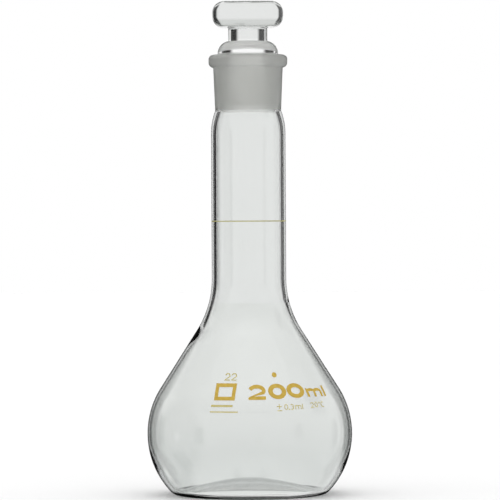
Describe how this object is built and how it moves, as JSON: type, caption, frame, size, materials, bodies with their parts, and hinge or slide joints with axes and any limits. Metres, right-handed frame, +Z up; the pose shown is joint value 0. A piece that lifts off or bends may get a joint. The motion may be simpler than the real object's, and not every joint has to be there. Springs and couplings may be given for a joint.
{
  "type": "volumetric flask",
  "caption": "Pear-bellied glass measuring flask with a long neck, a filling ring, a domed floor, a rolled rim and a flat-headed ground stopper that lifts out.",
  "frame": {"origin": "centre of the foot, on the surface the flask stands on", "axes": "+Z up along the neck, and -Y towards the side that carries the marks"},
  "size_m": [0.0754, 0.0754, 0.1815],
  "materials": {
    "clear_glass": "clear, fire-polished",
    "ground_glass": "clear outside over a finely ground bore, so it looks frosted",
    "amber_stain": "amber stain fired into the glass"
  },
  "bodies": {
    "flask": {"bulb": "clear_glass", "neck": "clear_glass", "ground_socket": "ground_glass", "graduation_ring": "amber_stain", "capacity_mark": "amber_stain", "tolerance_mark": "amber_stain", "joint_size_mark": "amber_stain", "field_frame": "amber_stain", "field_rules": "amber_stain", "index_dot": "amber_stain"},
    "stopper": {"stopper": "clear_glass"}
  },
  "joints": [
    {"name": "stopper_lift", "type": "slide", "parent": "flask", "child": "stopper", "axis": [0, 0, 1], "range_m": [0, 0.045]}
  ]
}
